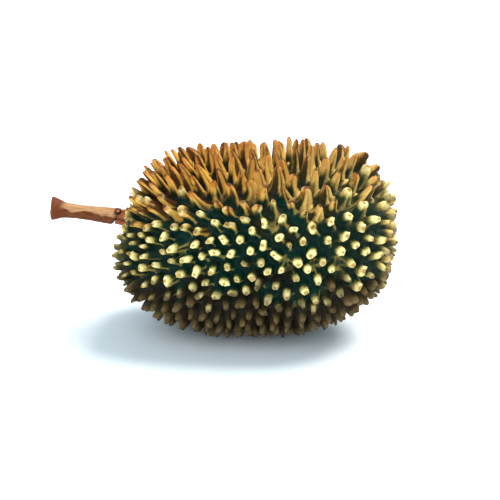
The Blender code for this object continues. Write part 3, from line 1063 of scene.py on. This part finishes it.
# %% Paint the wood and the neck
GRAIN_SCALE, GRAIN_WANDER, WOOD_RADIUS, WOOD_ROUGHNESS = 600.0, 0.0008, 0.0115, 0.75
WOOD = (
    (0.00, (0.06, 0.014, 0.003)), (0.22, (0.13, 0.033, 0.006)), (0.55, (0.17, 0.048, 0.010)),
    (0.80, (0.12, 0.031, 0.006)), (0.92, (0.30, 0.110, 0.038)), (1.00, (0.12, 0.033, 0.008)),
)
NECK_COLOURS = (
    (0.30, (0.17, 0.042, 0.010)), (0.55, (0.32, 0.090, 0.022)), (0.75, (0.47, 0.160, 0.046)),
)
NECK_STREAKS, FOLD_SCALE, FOLD_WANDER, FOLD_BELOW = 600.0, 110.0, 0.0016, 0.0006
CREASE, CREASE_SHARE, CREASE_SHADE_COLOUR = (0.0006, 0.0022), 0.85, (0.060, 0.016, 0.008)
NECK_ROUGHNESS = 0.6

cut_wood, shader = new_finish("cut_wood")
turned, part = along_the_stalk(cut_wood)
across = {0: turned, 1: (0.0, 1.0, 1.0)}
across = add(cut_wood, "ShaderNodeVectorMath", across, operation="MULTIPLY").outputs["Vector"]
grain = cloud(cut_wood, turned, GRAIN_SCALE)
ringed = shifts(cut_wood, grain, clip=0.2, reach=GRAIN_WANDER)
ringed = plus(cut_wood, distance(cut_wood, "LENGTH", {0: across}), ringed)
wood = ramp(cut_wood, span(cut_wood, ringed, 0.0, WOOD_RADIUS), WOOD)
finish_skin(cut_wood, shader, wood, grain, WOOD_ROUGHNESS)

neck_skin, shader = new_finish("neck_skin")
turned, part = along_the_stalk(neck_skin)
streaks = streaked(neck_skin, turned, NECK_STREAKS)
neck_colour = ramp(neck_skin, streaks, NECK_COLOURS)
fold = cloud(neck_skin, turned, FOLD_SCALE, detail=1.0)
fold = plus(neck_skin, part["Z"], shifts(neck_skin, fold, clip=0.3, reach=FOLD_WANDER))
fold = calculate(neck_skin, "ABSOLUTE", plus(neck_skin, fold, FOLD_BELOW), 0.0)
# Painted shade of a crease along the neck's side.
crease = span(neck_skin, fold, *CREASE, CREASE_SHARE, 0.0)
neck_colour = blend(neck_skin, crease, neck_colour, CREASE_SHADE_COLOUR)
finish_skin(neck_skin, shader, neck_colour, streaks, NECK_ROUGHNESS)
print("the neck's finish has", len(neck_skin.node_tree.nodes), "nodes")

# %% [markdown]
# ## Bark or wood
# The stalk has two finishes, and each of its faces says which one it takes: the faces near the
# cut that look out along the stalk are wood, and the rest are bark.

# %% Give the stalk and the neck their finishes
FACING_OUT = 0.86
NEAR_THE_CUT = 0.05

for piece, finishes in ((neck, (neck_skin,)), (stalk, (bark, cut_wood))):
    piece.data.materials.clear()
    for finish in finishes:
        piece.data.materials.append(finish)
for face in stalk.data.polygons:
    at_the_cut = (face.center - joint).dot(stalk_line) > NEAR_THE_CUT
    if at_the_cut and face.normal.dot(cut_facing) > FACING_OUT:
        face.material_index = 1
print("wood on", sum(face.material_index for face in stalk.data.polygons), "faces")

# %% [markdown]
# ## The floor
# The durian lies on a plain pale floor, large enough that its edges aren't seen.

# %% Lay the floor
FLOOR_SIZE, FLOOR_BACK = 30.0, 8.0
PALE_FLOOR, FLOOR_ROUGHNESS, FLOOR_GLOSS = (0.88, 0.93, 0.96, 1.0), 0.9, 0.1

bpy.ops.object.select_all(action="DESELECT")
bpy.ops.mesh.primitive_plane_add(size=FLOOR_SIZE, location=(0.0, FLOOR_BACK, 0.0))
floor = bpy.context.object
floor.name = "studio_floor"
bpy.ops.object.transform_apply(location=True, rotation=True, scale=True)
floor_finish, shader = new_finish("studio_floor")
shader.inputs["Base Color"].default_value = PALE_FLOOR
shader.inputs["Roughness"].default_value = FLOOR_ROUGHNESS
shader.inputs["Specular IOR Level"].default_value = FLOOR_GLOSS
floor.data.materials.append(floor_finish)
print("the floor is", FLOOR_SIZE, "m wide")

# %% [markdown]
# ## The light
# A wide, soft sun from above gives the shadow, and a weaker one fills the near side. The sky is
# pale blue, which tints the shadow, but the camera itself sees plain white behind the floor.

# %% Light the studio
PALE_SKY, WHITE, SKY_STRENGTH = (0.70, 0.88, 1.0, 1.0), (1.0, 1.0, 1.0, 1.0), 0.75
OVERHEAD = (0.5, 0.2, 1.5)  # a sun shines the same from any place
LAMPS = (  # (name, way to the light, strength, width in degrees, colour)
    ("overhead_light", (0.43, 0.24, 0.87), 3.9, 34, (1.0, 0.97, 0.92)),
    ("front_light", (-0.30, -0.80, 0.52), 1.5, 70, (1.0, 0.98, 0.95)),
)

world = bpy.data.worlds.new("studio")
bpy.context.scene.world = world
world.use_nodes = True
nodes = world.node_tree.nodes
sky = nodes["Background"]
sky.inputs["Color"].default_value = PALE_SKY
sky.inputs["Strength"].default_value = SKY_STRENGTH
backdrop = nodes.new("ShaderNodeBackground")
backdrop.inputs["Color"].default_value = WHITE
either = nodes.new("ShaderNodeMixShader")
join(world, nodes.new("ShaderNodeLightPath").outputs["Is Camera Ray"], either.inputs[0])
join(world, sky.outputs[0], either.inputs[1])
join(world, backdrop.outputs[0], either.inputs[2])
join(world, either.outputs[0], nodes["World Output"].inputs["Surface"])

for name, towards, strength, width, colour in LAMPS:
    bpy.ops.object.light_add(type="SUN", location=OVERHEAD)
    lamp = bpy.context.object
    lamp.name = name
    lamp.data.energy = strength
    lamp.data.angle = math.radians(width)
    lamp.data.color = colour
    lamp.rotation_euler = Vector(towards).to_track_quat("Z", "Y").to_euler()
print(len(LAMPS), "lamps")

# %% [markdown]
# ## The camera
# The camera looks at the fruit's near side from a little above and a little to its right, from
# far enough that a long lens keeps the proportions true.

# %% Place the camera
AZIMUTH, ELEVATION = math.radians(6.0), math.radians(17.0)
DISTANCE = 1.176
LEFT_OF_CENTRE, BELOW_CENTRE = 0.0065, 0.0135
LENS, SENSOR = 85.0, 36.0  # millimetres

low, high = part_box("fruit")
centre = (low + high) / 2.0
level_back = Vector((math.sin(AZIMUTH), -math.cos(AZIMUTH), 0.0))
back = math.cos(ELEVATION) * level_back + Vector((0.0, 0.0, math.sin(ELEVATION)))
right = Vector((math.cos(AZIMUTH), math.sin(AZIMUTH), 0.0))
above = back.cross(right)
eye = centre + DISTANCE * back
aim = centre - LEFT_OF_CENTRE * right - BELOW_CENTRE * above
bpy.ops.object.camera_add(location=eye)
camera = bpy.context.object
camera.data.lens = LENS
camera.data.sensor_width = SENSOR
camera.rotation_euler = (aim - eye).to_track_quat("-Z", "Y").to_euler()
bpy.context.scene.camera = camera
bpy.context.scene.view_settings.view_transform = "Standard"
print("the camera is at", rounded(eye))

# %% [markdown]
# ## Putting the pieces on their body
# Nothing on the fruit moves, so all three pieces ride on the one body. Each one stands for its
# measured piece, which is hidden.

# %% Put the pieces on their body
for piece, node, slot in (
    (husk, "fruit", "husk"), (neck, "stalk_neck", "stalk_neck"), (stalk, "stalk", "stalk_bark")
):
    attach(piece, "root")
    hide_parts(node)
